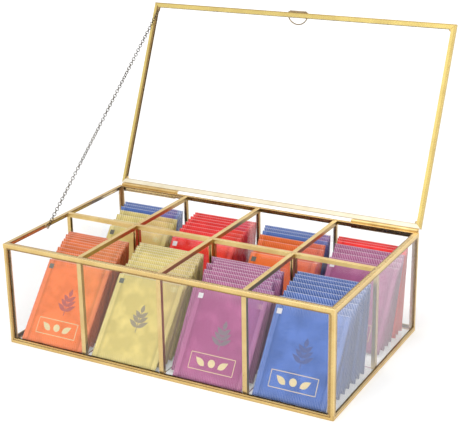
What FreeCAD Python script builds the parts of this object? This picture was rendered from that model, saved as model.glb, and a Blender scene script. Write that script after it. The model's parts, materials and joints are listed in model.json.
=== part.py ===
"""A glass tea chest: a brass-framed glass box with eight compartments, a hinged glass lid held open by a chain,
and a stack of tea sachets in each compartment.

Millimetres and degrees. The origin is the centre of the box's footprint, on the surface that it stands on.
+X runs to the right along the box's length, +Y to the back, +Z up. The lid is modelled open, at the chain's stop.
"""
import FreeCAD, Part
import math
import os
import re

import Sketcher

Vector = FreeCAD.Vector
Rotation = FreeCAD.Rotation
Placement = FreeCAD.Placement
X_AXIS = Vector(1, 0, 0)
Y_AXIS = Vector(0, 1, 0)
Z_AXIS = Vector(0, 0, 1)
TOLERANCE = 1e-6

# alias, value, what it is
SIZES = (
    # the box
    ("box_width", 320.0, "outside of the box, left to right"),
    ("box_depth", 188.0, "outside of the box, front to back"),
    ("box_height", 96.0, "from the table to the top of the rails"),
    ("strip_leg", 4.6, "each leg of the angle strip"),
    ("strip_wall", 0.8, "thickness of the angle strip"),
    ("corner_round", 1.0, "rounding of the box's upright corners"),
    ("edge_round", 0.5, "rounding of the strips' long outer edges"),
    ("pane", 2.0, "thickness of the box's panes"),
    ("seat_gap", 0.1, "glass to strip, glass to glass, and strip to strip"),
    ("liner_leg", 3.4, "each leg of the angle strip inside a corner"),
    ("liner_wall", 0.5, "thickness of the strip inside a corner"),
    # the dividers
    ("divider_pane", 2.6, "thickness of a divider"),
    ("channel_wall", 0.8, "thickness of the channel strip"),
    ("channel_depth", 3.6, "how far a channel reaches along its pane"),
    ("channel_round", 0.3, "rounding of a channel's outer edges"),
    # the lid
    ("lid_open_angle", 114.0, "how far the chain lets the lid open"),
    ("lid_gap", 0.4, "shut lid to rails"),
    ("lid_pane", 2.0, "thickness of the lid's pane"),
    ("lid_strip_wall", 0.8, "thickness of the lid's channel strip"),
    ("lid_strip_width", 4.6, "how far a lid rail reaches over its pane"),
    # the hinges
    ("hinge_setback", 2.0, "hinge line behind the box's back"),
    ("hinge_inset", 1.5, "a hinge's outer pin head inside the box's side"),
    ("knuckle_radius", 1.7, "outside of a knuckle"),
    ("knuckle_length", 21.0, "one knuckle"),
    ("knuckle_gap", 0.2, "a knuckle to what turns beside it"),
    ("hinge_pin_radius", 0.7, "a hinge pin"),
    ("hinge_bore_gap", 0.05, "pin to knuckle"),
    ("leaf_wall", 0.6, "thickness of a hinge leaf"),
    ("leaf_drop", 4.0, "how far a leaf reaches down the back rail"),
    ("leaf_root", 0.3, "a leaf's tab to the hinge line, inside its knuckle"),
    ("pin_head_radius", 1.2, "a pin's heads"),
    ("pin_head_length", 0.6, "a pin's heads"),
    # the pull
    ("pull_width", 17.2, "the pull's tube and plate"),
    ("pull_tube_radius", 1.4, "outside of the pull's tube"),
    ("pull_tube_rise", 0.4, "the tube's centre above the shut lid"),
    ("pull_plate_wall", 0.5, "thickness of the pull's plate"),
    ("pull_plate_drop", 3.6, "how far the plate reaches down the lid's front rail"),
    ("pull_wire_radius", 0.6, "the ring's wire"),
    ("pull_bore_gap", 0.08, "the ring's wire in its tube"),
    ("pull_elbow", 1.6, "the bend of the ring's wire beside the tube"),
    ("pull_side_gap", 0.3, "tube's end to the ring's elbow"),
    # the chain
    ("chain_inset", 6.9, "the chain's line inside the box's left side"),
    ("chain_pitch", 2.93, "from link to link, before it is evened out over the chain"),
    ("chain_wire", 0.6, "diameter of a link's wire"),
    ("link_width", 3.5, "outside width of a link"),
    ("link_play", 0.07, "wire to wire where two links pull"),
    ("chain_floor_gap", 4.0, "floor pane to the turns of the chain when the lid is shut"),
    ("chain_tail", 23.0, "the chain's second run, which lies on the rest when the lid is shut"),
    ("base_eye_setback", 57.0, "lower eye behind the box's front"),
    ("base_eye_drop", 1.8, "lower eye's centre below the rails' top"),
    ("lid_eye_setback", 7.0, "upper eye behind the lid's front edge"),
    ("lid_eye_drop", 1.05, "upper eye's centre below the lid's underside"),
    ("eye_radius", 1.4, "middle radius of an eye"),
    ("eye_wire", 0.9, "diameter of an eye's wire"),
    ("eye_stub", 0.7, "diameter of the stub that an eye is soldered by"),
    # the sachets
    ("sachet_width", 66.0, "a sachet, left to right"),
    ("sachet_height", 79.0, "a sachet, bottom to top"),
    ("sachet_puff", 4.0, "thickness of a sachet in its middle"),
    ("sachet_seam", 0.5, "thickness of a sachet's sealed edge"),
    ("sachet_seam_side", 4.0, "width of a sachet's sealed edges"),
    ("sachet_slope", 14.0, "from a side or lower sealed edge to the full thickness"),
    ("sachet_top_slope", 40.0, "from the upper sealed edge down to the full thickness"),
    ("sachet_rest_gap", 0.3, "a sachet to what it rests on"),
)

# Each stack of sachets: name, column from the left, row, and its place in its compartment: the shares of the room
# beside its first and its last sachet that are on their left and how far the sachets stand out of that line, and, as
# multiples of a sachet's thickness, its first foot from the wall in front, the slack between its sachets and the gap
# behind its last one. Then the lean of its first sachet and what each next one adds, in degrees.
FRONT_ROW, BACK_ROW = 0, 1
STACKS = (
    ("sachets_front_1", 0, FRONT_ROW, (0.886, 0.886, 0.065), 0.125, 0.0, 1.925, 51.0, 3.2),
    ("sachets_front_2", 1, FRONT_ROW, (0.552, 0.552, 0.065), 0.125, 0.075, 0.8, 50.0, 3.3),
    ("sachets_front_3", 2, FRONT_ROW, (0.5, 0.5, 0.42), 0.25, 0.1, 1.0, 53.0, 3.3),
    ("sachets_front_4", 3, FRONT_ROW, (0.261, 0.45, 0.065), 0.25, 0.4, 0.25, 54.0, 4.0),
    ("sachets_back_1", 0, BACK_ROW, (0.886, 0.886, 0.065), 1.875, 0.65, 1.025, 52.0, 5.2),
    ("sachets_back_2", 1, BACK_ROW, (0.48, 0.94, 0.03), 1.2, 0.2, 0.3, 55.0, 3.4),
    ("sachets_back_3", 2, BACK_ROW, (0.812, 0.812, 0.065), 1.575, 0.65, 0.95, 51.0, 5.3),
    ("sachets_back_4", 3, BACK_ROW, (0.261, 0.261, 0.065), 5.5, 0.05, 0.3, 55.0, 4.7),
)
COLUMNS = 4
# the steepest lean of a sachet in its stack, and how the sachets' places out of line vary from one to the next, in
# radians
STEEPEST = 84.0
STAGGER_TURN = 2.4

# How the chain's runs are twisted: the steepest twist from a link to the next near a run's ends, and the twist of
# its middle and its sway, in degrees, and how the sway goes on from link to link, in radians.
TWIST_STEP, TWIST, TWIST_SWAY, TWIST_TURN = 6.0, 30.0, 12.0, 0.4

# Formulas of the sheet's sizes that several pieces share.
GLASS_SEAT = "(strip_wall + seat_gap)"
LINING = "(strip_wall + pane + 2 * seat_gap)"
FLOOR_TOP = "(strip_wall + seat_gap + pane)"
RAIL_INNER_X = "(box_width / 2 - strip_leg)"
RAIL_INNER_Y = "(box_depth / 2 - strip_leg)"
CHANNEL_WIDTH = "(divider_pane + 2 * seat_gap + 2 * channel_wall)"
CHANNEL_SEAT = "(channel_wall + seat_gap)"
POST_BOTTOM = f"({FLOOR_TOP} + seat_gap)"
POST_LENGTH = f"(box_height - channel_depth - seat_gap - {POST_BOTTOM})"
DIVIDER_HEIGHT = f"(box_height - {CHANNEL_SEAT} - {POST_BOTTOM})"
LID_HEIGHT = "(lid_pane + 2 * seat_gap + 2 * lid_strip_wall)"
LID_BOTTOM = "(lid_gap / 2)"
LID_TOP = f"({LID_BOTTOM} + {LID_HEIGHT})"
LID_FRONT = "(-hinge_setback - box_depth)"
HINGE_Y = "(box_depth / 2 + hinge_setback)"
HINGE_Z = "(box_height + lid_gap / 2)"
HINGE_LENGTH = "(3 * knuckle_length + 2 * knuckle_gap)"
HINGE_PIN_LENGTH = f"({HINGE_LENGTH} + 2 * knuckle_gap + 2 * pin_head_length)"
LEAF_START = "(knuckle_radius + knuckle_gap)"
RING_RADIUS = "(pull_width / 2 + pull_side_gap + pull_elbow)"
CHAIN_X = "(chain_inset - box_width / 2)"
SACHET_FULL_TOP = "(sachet_height - sachet_seam_side - sachet_top_slope)"

document = FreeCAD.newDocument("GlassTeaChest")
sheet = document.addObject("Spreadsheet::Sheet", "Sizes")
for row, (alias, value, note) in enumerate(SIZES, 1):
    sheet.set(f"A{row}", note)
    sheet.set(f"B{row}", str(value))
    sheet.setAlias(f"B{row}", alias)
document.recompute()

ALIASES = re.compile(r"\b(" + "|".join(alias for alias, value, note in SIZES) + r")\b")
nodes = []


# ---- formulas, places and features ----

def cells(formula):
    """The formula as the document reads it, with each size's alias pointing into the sheet."""
    return ALIASES.sub(r"Sizes.\1", formula)


def worth(formula):
    """The formula's value."""
    return float(sheet.evalExpression(cells(formula)))


def size(alias):
    """The value of one cell of the sheet."""
    return float(getattr(sheet, alias))


def spot(x="0", y="0", z="0", axis=Z_AXIS, angle="0"):
    """The formula of a placement: a turn by the angle about the axis, then a move to x, y, z."""
    move = f"create(<<vector>>; {x}; {y}; {z})"
    turn = f"create(<<rotation>>; create(<<vector>>; {axis.x}; {axis.y}; {axis.z}); {angle})"
    return f"create(<<placement>>; {move}; {turn})"


LID_FRAME = spot("0", HINGE_Y, HINGE_Z, X_AXIS, "-lid_open_angle")


def placed(piece, *spots):
    """Puts the piece at the last spot, which is measured in the one before it, and so on."""
    piece.setExpression("Placement", cells(" * ".join(spots)))
    return piece


def bound(piece, **formulas):
    """Ties the piece's properties to formulas of the sheet's sizes."""
    for name, formula in formulas.items():
        piece.setExpression(name, cells(formula))
    return piece


def node(piece):
    """Lists the piece as a sub-part to export under its label."""
    nodes.append(piece)
    return piece


def group(label, children):
    """One sub-part of several separate pieces."""
    compound = document.addObject("Part::Compound", label)
    compound.Links = children
    return node(compound)


def block(label, length, width, height):
    """A plain block with its lowest corner at its own origin."""
    return bound(document.addObject("Part::Box", label), Length=length, Width=width, Height=height)


def rod(label, radius, length):
    """A round rod along its own Z from its own origin."""
    return bound(document.addObject("Part::Cylinder", label), Radius=radius, Height=length)


def bent_wire(label, radius, wire_radius, sweep=360):
    """A round wire bent about its own Z, from its own +X through the sweep."""
    wire = bound(document.addObject("Part::Torus", label), Radius1=radius, Radius2=wire_radius)
    wire.Angle3 = sweep
    return wire


def fused(label, pieces):
    """The pieces joined into one solid."""
    fuse = document.addObject("Part::MultiFuse", label)
    fuse.Shapes = pieces
    return fuse


def bored(label, piece, tool):
    """The piece less the tool."""
    cut = document.addObject("Part::Cut", label)
    cut.Base = piece
    cut.Tool = tool
    return cut


def sketch_on(body, role):
    """A new sketch on one of the body's own origin planes."""
    sketch = body.newObject("Sketcher::SketchObject", f"{body.Name}_sketch")
    plane = next(feature for feature in body.Origin.OriginFeatures if feature.Role == role)
    sketch.AttachmentSupport = (plane, [""])
    sketch.MapMode = "FlatFace"
    return sketch


def tie(sketch, kind, line, formula):
    """Holds a line's start, which is its point 1, at a distance from the sketch's origin that follows the formula."""
    origin = -1
    number = sketch.addConstraint(Sketcher.Constraint(kind, origin, 1, line, 1, worth(formula)))
    name = f"{kind}_{line}"
    sketch.renameConstraint(number, name)
    sketch.setExpression(f"Constraints.{name}", cells(formula))


def polygon(sketch, corners):
    """Straight lines round the corners, each a pair of formulas that the corner is tied to.

    A line's start is its point 1 and its end its point 2.
    """
    points = [Vector(worth(across), worth(along), 0) for across, along in corners]
    first = sketch.GeometryCount
    count = len(points)
    for index, point in enumerate(points):
        sketch.addGeometry(Part.LineSegment(point, points[(index + 1) % count]))
    for index, (across, along) in enumerate(corners):
        line = first + index
        following = first + (index + 1) % count
        sketch.addConstraint(Sketcher.Constraint("Coincident", line, 2, following, 1))
        tie(sketch, "DistanceX", line, across)
        tie(sketch, "DistanceY", line, along)


def rectangle(sketch, half_width, half_depth):
    """A rectangle about the sketch's origin."""
    polygon(sketch, [(f"-{half_width}", f"-{half_depth}"), (half_width, f"-{half_depth}"),
                     (half_width, half_depth), (f"-{half_width}", half_depth)])


def pad(body, sketch, length, side="One side"):
    """Raises the sketch by the length."""
    feature = body.newObject("PartDesign::Pad", f"{body.Name}_pad")
    feature.Profile = sketch
    feature.SideType = side
    return bound(feature, Length=length)


def round_edges(body, radius, *lines):
    """Fillets the straight edges that lie on a line, which is given by its fixed coordinates."""
    document.recompute()
    names = []
    for number, edge in enumerate(body.Shape.Edges, 1):
        ends = [vertex.Point for vertex in edge.Vertexes]
        for line in lines:
            if all(abs(getattr(end, axis) - value) < TOLERANCE for end in ends for axis, value in line.items()):
                names.append(f"Edge{number}")
    base = body.Tip
    fillet = body.newObject("PartDesign::Fillet", f"{body.Name}_fillet")
    fillet.Base = (base, names)
    return bound(fillet, Radius=radius)


# ---- the strips that the box and the lid are framed with ----

def mitred_strip(label, section, length, width, rounded):
    """A folded strip along its own X, outer face on its own XZ plane, with both ends mitred over its width.

    The rounded heights are those of its long outer edges.
    """
    body = document.addObject("PartDesign::Body", label)
    profile = sketch_on(body, "YZ_Plane")
    polygon(profile, section)
    pad(body, profile, length, "Symmetric")
    round_edges(body, "edge_round", *({"y": 0, "z": worth(height)} for height in rounded))
    mitres = sketch_on(body, "XY_Plane")
    for side in ("-", ""):
        end = f"{side}({length} / 2)"
        inner = f"{side}({length} / 2 - {width})"
        polygon(mitres, [(end, "0"), (end, width), (inner, width)])
    pocket = body.newObject("PartDesign::Pocket", f"{label}_mitres")
    pocket.Profile = mitres
    pocket.Type = "ThroughAll"
    pocket.SideType = "Symmetric"
    return node(body)


ANGLE_SECTION = [("0", "0"), ("strip_leg", "0"), ("strip_leg", "-strip_wall"), ("strip_wall", "-strip_wall"),
                 ("strip_wall", "-strip_leg"), ("0", "-strip_leg")]
LID_SECTION = [("0", "0"), ("lid_strip_width", "0"), ("lid_strip_width", "lid_strip_wall"),
               ("lid_strip_wall", "lid_strip_wall"), ("lid_strip_wall", f"{LID_HEIGHT} - lid_strip_wall"),
               ("lid_strip_width", f"{LID_HEIGHT} - lid_strip_wall"), ("lid_strip_width", LID_HEIGHT),
               ("0", LID_HEIGHT)]
# the four upright corners: name, side and back as signs, and turn
CORNERS = (("front_left", -1, -1, 0), ("front_right", 1, -1, 90),
           ("back_right", 1, 1, 180), ("back_left", -1, 1, 270))
# the four sides of a frame: name, its middle from the frame's centre as signs, its turn, and its length
FRAME_SIDES = (("front", 0, -1, 0, "box_width"), ("right", 1, 0, 90, "box_depth"),
               ("back", 0, 1, 180, "box_width"), ("left", -1, 0, 270, "box_depth"))


def angle_section(leg, wall):
    """The corners of an angle strip's section, its fold at the origin and its legs along +X and +Y."""
    return [("0", "0"), (leg, "0"), (leg, wall), (wall, wall), (wall, leg), ("0", leg)]


def box_frame():
    """The bottom frame in one folded piece, four corner posts and four mitred top rails."""
    frame = document.addObject("PartDesign::Body", "bottom_frame")
    for width, height in (("strip_leg", "strip_wall"), ("strip_wall", "strip_leg")):
        ring = sketch_on(frame, "XY_Plane")
        rectangle(ring, "(box_width / 2)", "(box_depth / 2)")
        rectangle(ring, f"(box_width / 2 - {width})", f"(box_depth / 2 - {width})")
        pad(frame, ring, height)
    half_width, half_depth = worth("box_width / 2"), worth("box_depth / 2")
    round_edges(frame, "corner_round", *({"x": across * half_width, "y": back * half_depth}
                                         for name, across, back, turn in CORNERS))
    node(frame)

    for name, across, back, turn in CORNERS:
        post = document.addObject("PartDesign::Body", f"corner_post_{name}")
        section = sketch_on(post, "XY_Plane")
        polygon(section, angle_section("strip_leg", "strip_wall"))
        pad(post, section, "box_height - 2 * strip_leg")
        round_edges(post, "corner_round", {"x": 0, "y": 0})
        node(placed(post, spot(f"{across} * box_width / 2", f"{back} * box_depth / 2", "strip_leg", Z_AXIS, turn)))

    for name, x, y, turn, length in FRAME_SIDES:
        rail = mitred_strip(f"top_rail_{name}", ANGLE_SECTION, length, "strip_leg", ["0"])
        placed(rail, spot(f"{x} * box_width / 2", f"{y} * box_depth / 2", "box_height", Z_AXIS, turn))


def box_panes():
    """The floor and the four walls of glass, which butt against each other inside the strips."""
    full_width = f"box_width - 2 * {GLASS_SEAT}"
    inner_width = f"box_width - 2 * {LINING}"
    inner_depth = f"box_depth - 2 * {LINING}"
    height = f"box_height - 2 * {GLASS_SEAT}"
    front = block("front_pane", full_width, "pane", height)
    placed(front, spot(f"-({full_width}) / 2", f"{GLASS_SEAT} - box_depth / 2", GLASS_SEAT))
    back = block("back_pane", full_width, "pane", height)
    placed(back, spot(f"-({full_width}) / 2", f"box_depth / 2 - {GLASS_SEAT} - pane", GLASS_SEAT))
    left = block("left_pane", "pane", inner_depth, height)
    placed(left, spot(f"{GLASS_SEAT} - box_width / 2", f"-({inner_depth}) / 2", GLASS_SEAT))
    right = block("right_pane", "pane", inner_depth, height)
    placed(right, spot(f"box_width / 2 - {GLASS_SEAT} - pane", f"-({inner_depth}) / 2", GLASS_SEAT))
    floor = block("floor_pane", inner_width, inner_depth, "pane")
    placed(floor, spot(f"-({inner_width}) / 2", f"-({inner_depth}) / 2", GLASS_SEAT))
    for piece in (front, back, left, right, floor):
        node(piece)


def corner_liners():
    """A thin angle strip inside each upright corner, against both panes, from the floor to the rails."""
    height = f"box_height - {GLASS_SEAT} - {POST_BOTTOM}"
    liners = []
    for name, across, back, turn in CORNERS:
        liner = document.addObject("PartDesign::Body", f"corner_liner_{name}")
        section = sketch_on(liner, "XY_Plane")
        polygon(section, angle_section("liner_leg", "liner_wall"))
        pad(liner, section, height)
        where = (f"{across} * (box_width / 2 - {LINING})", f"{back} * (box_depth / 2 - {LINING})", POST_BOTTOM)
        liners.append(placed(liner, spot(*where, Z_AXIS, turn)))
    group("corner_liners", liners)


# ---- the dividers ----

def channel(label, length):
    """A U-shaped strip along its own Z, with its web's outer face on its own YZ plane and its open side towards +X."""
    body = document.addObject("PartDesign::Body", label)
    half = f"({CHANNEL_WIDTH} / 2)"
    inner = f"({CHANNEL_WIDTH} / 2 - channel_wall)"
    section = sketch_on(body, "XY_Plane")
    polygon(section, [("0", f"-{half}"), ("channel_depth", f"-{half}"), ("channel_depth", f"-{inner}"),
                      ("channel_wall", f"-{inner}"), ("channel_wall", inner), ("channel_depth", inner),
                      ("channel_depth", half), ("0", half)])
    pad(body, section, length)
    round_edges(body, "channel_round", {"x": 0, "y": -worth(half)}, {"x": 0, "y": worth(half)})
    return body


def long_divider():
    """The pane from left to right, with its cap and the channel that holds each of its ends."""
    half_length = f"(box_width / 2 - {LINING} - {CHANNEL_SEAT})"
    long_pane = block("long_divider_pane", f"2 * {half_length}", "divider_pane", DIVIDER_HEIGHT)
    node(placed(long_pane, spot(f"-{half_length}", "-divider_pane / 2", POST_BOTTOM)))
    cap = channel("long_divider_cap", f"2 * ({RAIL_INNER_X} - seat_gap)")
    lying = (spot(axis=Y_AXIS, angle="90"), spot(z=f"-({RAIL_INNER_X} - seat_gap)"))
    node(placed(cap, spot(z="box_height"), *lying))
    for name, side, turn in (("left", -1, "0"), ("right", 1, "180")):
        post = channel(f"long_divider_post_{name}", POST_LENGTH)
        node(placed(post, spot(f"{side} * (box_width / 2 - {LINING})", "0", POST_BOTTOM, Z_AXIS, turn)))


def cross_dividers():
    """At each quarter of the width, a short pane in front and one behind, their caps and their end channels."""
    near = f"(divider_pane / 2 + seat_gap + {CHANNEL_SEAT})"
    far = f"(box_depth / 2 - {LINING} - {CHANNEL_SEAT})"
    cap_near = f"({CHANNEL_WIDTH} / 2 + seat_gap)"
    cap_far = f"({RAIL_INNER_Y} - seat_gap)"
    crossing_posts = []
    for number in range(1, COLUMNS):
        x = f"({number} / {COLUMNS} - 0.5) * box_width"
        caps = []
        for row, side, turn in (("front", -1, "270"), ("back", 1, "90")):
            opposite = "90" if row == "front" else "270"
            short_pane = block(f"divider_pane_{row}_{number}", "divider_pane", f"{far} - {near}", DIVIDER_HEIGHT)
            low_y = f"-{far}" if row == "front" else near
            node(placed(short_pane, spot(f"{x} - divider_pane / 2", low_y, POST_BOTTOM)))

            cap = channel(f"divider_cap_{row}_{number}", f"{cap_far} - {cap_near}")
            lying = (spot(axis=Z_AXIS, angle=turn), spot(axis=Y_AXIS, angle="90"), spot(z=cap_near))
            caps.append(placed(cap, spot(x, "0", "box_height"), *lying))

            inner_post = channel(f"crossing_post_{row}_{number}", POST_LENGTH)
            inner_y = f"{side} * (divider_pane / 2 + seat_gap)"
            crossing_posts.append(placed(inner_post, spot(x, inner_y, POST_BOTTOM, Z_AXIS, turn)))

            outer_post = channel(f"wall_post_{row}_{number}", POST_LENGTH)
            outer_y = f"{side} * (box_depth / 2 - {LINING})"
            node(placed(outer_post, spot(x, outer_y, POST_BOTTOM, Z_AXIS, opposite)))
        group(f"divider_caps_{number}", caps)
    group("crossing_posts", crossing_posts)


# ---- the lid, its hinges and its pull ----

def lid():
    """Four mitred channel rails round a pane, in the lid's own frame: hinge line at its origin, lid shut along -Y."""
    middle = "(-hinge_setback - box_depth / 2)"
    for name, x, y, turn, length in FRAME_SIDES:
        rail = mitred_strip(f"lid_rail_{name}", LID_SECTION, length, "lid_strip_width", ["0", LID_HEIGHT])
        where = spot(f"{x} * box_width / 2", f"{middle} + {y} * box_depth / 2", LID_BOTTOM, Z_AXIS, turn)
        placed(rail, LID_FRAME, where)
    seat = "(lid_strip_wall + seat_gap)"
    width = f"(box_width - 2 * {seat})"
    depth = f"(box_depth - 2 * {seat})"
    glass = block("lid_pane", width, depth, "lid_pane")
    node(placed(glass, LID_FRAME, spot(f"-{width} / 2", f"{middle} - {depth} / 2", f"{LID_BOTTOM} + {seat}")))


def hinge_leaf(label, frame, plate_low, plate_height, tab_low, tab_height, knuckles):
    """A leaf with its plate, and a tab and a rolled knuckle at each of the knuckle positions along the hinge."""
    plate = block(f"{label}_plate", HINGE_LENGTH, "leaf_wall", plate_height)
    pieces = [placed(plate, spot(f"-{HINGE_LENGTH} / 2", "-hinge_setback", plate_low))]
    for position in knuckles:
        start = f"({position} * (knuckle_length + knuckle_gap) - knuckle_length / 2)"
        knuckle = rod(f"{label}_knuckle", "knuckle_radius", "knuckle_length")
        pieces.append(placed(knuckle, spot(x=start, axis=Y_AXIS, angle="90")))
        tab = block(f"{label}_tab", "knuckle_length", "leaf_wall", tab_height)
        pieces.append(placed(tab, spot(start, "-hinge_setback", tab_low)))
    bore = rod(f"{label}_bore", "hinge_pin_radius + hinge_bore_gap", HINGE_LENGTH)
    placed(bore, spot(x=f"-{HINGE_LENGTH} / 2", axis=Y_AXIS, angle="90"))
    return placed(bored(label, fused(f"{label}_blank", pieces), bore), *frame)


def hinges():
    """A hinge at each end of the back: a leaf on the back rail with two knuckles, one on the lid, and a headed pin."""
    base_leaves, lid_leaves, pins = [], [], []
    for name, side in (("left", -1), ("right", 1)):
        along = spot(f"{side} * (box_width / 2 - hinge_inset - {HINGE_PIN_LENGTH} / 2)")
        base = (spot("0", HINGE_Y, HINGE_Z), along)
        plate_low = f"-{LEAF_START} - leaf_drop"
        tab_height = f"{LEAF_START} - leaf_root"
        base_leaves.append(hinge_leaf(f"hinge_base_leaf_{name}", base, plate_low, "leaf_drop",
                                      f"-{LEAF_START}", tab_height, (-1, 1)))
        lid_leaves.append(hinge_leaf(f"hinge_lid_leaf_{name}", (LID_FRAME, along), LEAF_START,
                                     f"{LID_TOP} - {LEAF_START}", "leaf_root", tab_height, (0,)))
        lengthways = spot(x=f"-{HINGE_PIN_LENGTH} / 2", axis=Y_AXIS, angle="90")
        shank = placed(rod(f"hinge_pin_shank_{name}", "hinge_pin_radius", HINGE_PIN_LENGTH), lengthways)
        head = placed(rod(f"hinge_pin_head_{name}", "pin_head_radius", "pin_head_length"), lengthways)
        tail = rod(f"hinge_pin_tail_{name}", "pin_head_radius", "pin_head_length")
        placed(tail, lengthways, spot(z=f"{HINGE_PIN_LENGTH} - pin_head_length"))
        pins.append(placed(fused(f"hinge_pin_{name}", [shank, head, tail]), *base))
    group("hinge_base_leaves", base_leaves)
    group("hinge_lid_leaves", lid_leaves)
    group("hinge_pins", pins)


def pull():
    """A tube on a small plate on the lid's front rail, and the wire ring that swings in it, hanging plumb."""
    tube_y = f"({LID_FRONT} - pull_tube_radius)"
    tube_z = f"({LID_TOP} + pull_tube_rise)"
    sideways = spot(x="-pull_width / 2", axis=Y_AXIS, angle="90")
    tube = placed(rod("pull_tube_outside", "pull_tube_radius", "pull_width"), sideways)
    plate = block("pull_plate", "pull_width", "pull_plate_wall", "pull_plate_drop + pull_tube_rise")
    placed(plate, spot("-pull_width / 2", "pull_tube_radius - pull_plate_wall", "-pull_plate_drop - pull_tube_rise"))
    bore = placed(rod("pull_tube_bore", "pull_wire_radius + pull_bore_gap", "pull_width"), sideways)
    seat = bored("pull_tube", fused("pull_tube_blank", [tube, plate]), bore)
    node(placed(seat, LID_FRAME, spot("0", tube_y, tube_z)))

    half_pin = f"({RING_RADIUS} - pull_elbow)"
    pin = rod("pull_ring_pin", "pull_wire_radius", f"2 * {half_pin}")
    pieces = [placed(pin, spot(x=f"-{half_pin}", axis=Y_AXIS, angle="90"))]
    facing = spot(axis=X_AXIS, angle="90")
    for name, side, turn in (("left", -1, "90"), ("right", 1, "0")):
        elbow = bent_wire(f"pull_ring_elbow_{name}", "pull_elbow", "pull_wire_radius", 90)
        centre = spot(f"{side} * {half_pin}", "0", "-pull_elbow")
        pieces.append(placed(elbow, centre, facing, spot(axis=Z_AXIS, angle=turn)))
    hoop = bent_wire("pull_ring_hoop", RING_RADIUS, "pull_wire_radius", 180)
    pieces.append(placed(hoop, spot(z="-pull_elbow"), facing, spot(axis=Z_AXIS, angle="180")))
    ring = fused("pull_ring", pieces)
    node(placed(ring, LID_FRAME, spot("0", tube_y, tube_z, X_AXIS, "lid_open_angle")))


# ---- the chain ----

def eye(label, *spots):
    """An eye of round wire in its own YZ plane, with a stub from its top towards -X that is soldered to a rail."""
    ring = placed(bent_wire(f"{label}_ring", "eye_radius", "eye_wire / 2"), spot(axis=Y_AXIS, angle="90"))
    stub = rod(f"{label}_stub", "eye_stub / 2", "chain_inset - strip_leg - seat_gap")
    placed(stub, spot(z="eye_radius", axis=Y_AXIS, angle="-90"))
    return node(placed(fused(label, [ring, stub]), *spots))


def link(pitch):
    """One oval link about its own origin, its length along Y and its flat side towards X."""
    wire = size("chain_wire")
    bend = size("link_width") / 2 - wire / 2
    reach = (pitch + wire + size("link_play")) / 2 - bend
    round_end = Part.Face(Part.Wire(Part.Circle(Vector(0, 0, -bend), Y_AXIS, wire / 2).toShape()))
    pieces = []
    for side in (-1, 1):
        centre = Vector(0, side * reach, 0)
        section = round_end.translated(centre)
        pieces.append(section.revolve(centre, X_AXIS, side * 180))
        pieces.append(Part.makeCylinder(wire / 2, 2 * reach, Vector(0, -reach, side * bend), Y_AXIS))
    return pieces[0].multiFuse(pieces[1:])


def chain_run(label, start, angle, count, pitch, side):
    """A straight run of links from its first link's end wire, each link turned a quarter against its neighbour.

    The run is twisted between its ends, to the side that is 1 or -1.
    """
    blank = link(pitch)
    links = []
    for number in range(count):
        along = number * pitch + (pitch + size("chain_wire") + size("link_play")) / 2
        from_end = min(number, count - 1 - number)
        twist = min(TWIST_STEP * from_end, TWIST + TWIST_SWAY * math.sin(TWIST_TURN * number))
        roll = (0 if number % 2 else 90) + side * twist
        piece = blank.copy()
        piece.Placement = Placement(Vector(0, along, 0), Rotation(Y_AXIS, roll))
        links.append(piece)
    run = document.addObject("Part::Feature", label)
    run.Shape = Part.Compound(links)
    run.Placement = Placement(start, Rotation(X_AXIS, angle))
    return node(run)


def even(number):
    """The nearest even count."""
    return 2 * round(number / 2)


def chain():
    """The taut chain from the eye on the left rail to the eye on the lid, as four runs that fold when it is shut.

    Prints each run's pivot and count of links, and the angle of the taut chain.
    """
    eye_y, eye_z = "(base_eye_setback - box_depth / 2)", "(box_height - base_eye_drop)"
    lower = eye("chain_eye_base", spot(CHAIN_X, eye_y, eye_z))
    lid_spot = spot(CHAIN_X, f"{LID_FRONT} + lid_eye_setback", f"{LID_BOTTOM} - lid_eye_drop")
    upper = eye("chain_eye_lid", LID_FRAME, lid_spot)
    document.recompute()
    taut = upper.Placement.Base - lower.Placement.Base
    direction = Vector(taut).normalize()
    angle = math.degrees(math.atan2(taut.z, taut.y))
    hook = size("eye_radius") - size("eye_wire") / 2 - size("chain_wire") / 2 - size("link_play")
    wire = size("chain_wire") + size("link_play")
    length = taut.Length - 2 * hook - wire
    count = even(length / size("chain_pitch") - 1) + 1
    pitch = length / count

    turn_height = worth(f"{FLOOR_TOP} + chain_floor_gap")
    base_count = even((lower.Placement.Base.z - 2 * size("chain_floor_gap") - worth(FLOOR_TOP)) / pitch)
    lid_count = even((lower.Placement.Base.z - turn_height) / pitch)
    tail_count = even(size("chain_tail") / pitch)
    slack_count = count - base_count - lid_count - tail_count
    base_start = lower.Placement.Base + direction * hook
    lid_start = upper.Placement.Base - direction * hook
    runs = (("chain_base_run", base_start, angle, base_count),
            ("chain_base_tail", base_start + direction * base_count * pitch, angle, tail_count),
            ("chain_lid_run", lid_start, angle + 180, lid_count),
            ("chain_lid_tail", lid_start - direction * lid_count * pitch, angle + 180, slack_count))
    for label, start, heading, links in runs:
        chain_run(label, start, heading, links, pitch, 1 if heading == angle else -1)
        print(f"{label}: {links} links of pitch {pitch:.4f} from {tuple(start)}, heading {heading:.4f}")


# ---- the sachets ----

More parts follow.
